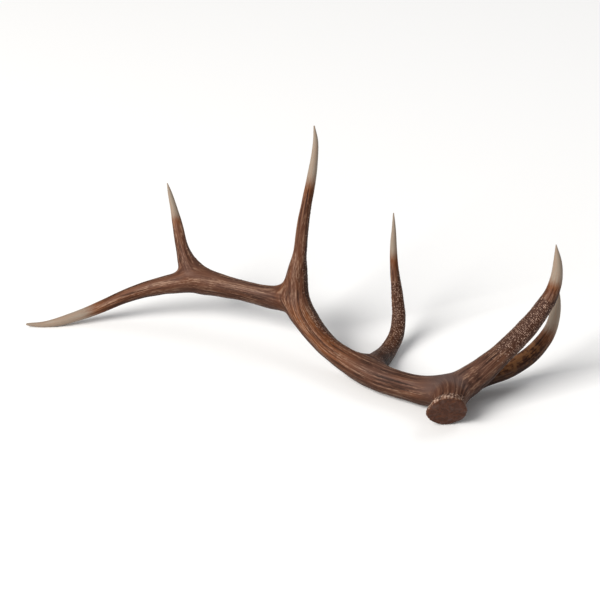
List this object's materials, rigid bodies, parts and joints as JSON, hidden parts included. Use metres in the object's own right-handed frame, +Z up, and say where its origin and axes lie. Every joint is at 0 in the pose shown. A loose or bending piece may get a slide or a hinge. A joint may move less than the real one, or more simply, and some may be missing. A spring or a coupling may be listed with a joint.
{
  "type": "elk antler",
  "caption": "Shed antler of a large deer: a long curved round beam with a knobbed burr at its root and pointed tines along its front, lying at rest with the tines upward.",
  "frame": {"origin": "centre of the bounding box's footprint, on the surface that the antler lies on", "axes": "+X runs along the length, from the tip of the beam towards the brow tine; +Y points away from the face of the burr; +Z is up, the way the tines point"},
  "size_m": [1.162, 0.5412, 0.4741],
  "materials": {
    "burr": "rough dark brown antler bone with pale knobs",
    "beam": "grooved brown antler bone with a dull natural sheen",
    "tine": "pearled brown antler bone, worn smooth and pale at the tip"
  },
  "bodies": {
    "root": {"burr_base": "burr", "lower_beam": "beam", "middle_beam": "beam", "upper_beam": "beam", "terminal_tine": "tine", "brow_tine": "tine", "bez_tine": "tine", "trez_tine": "tine", "royal_tine": "tine", "surroyal_tine": "tine"}
  },
  "joints": []
}
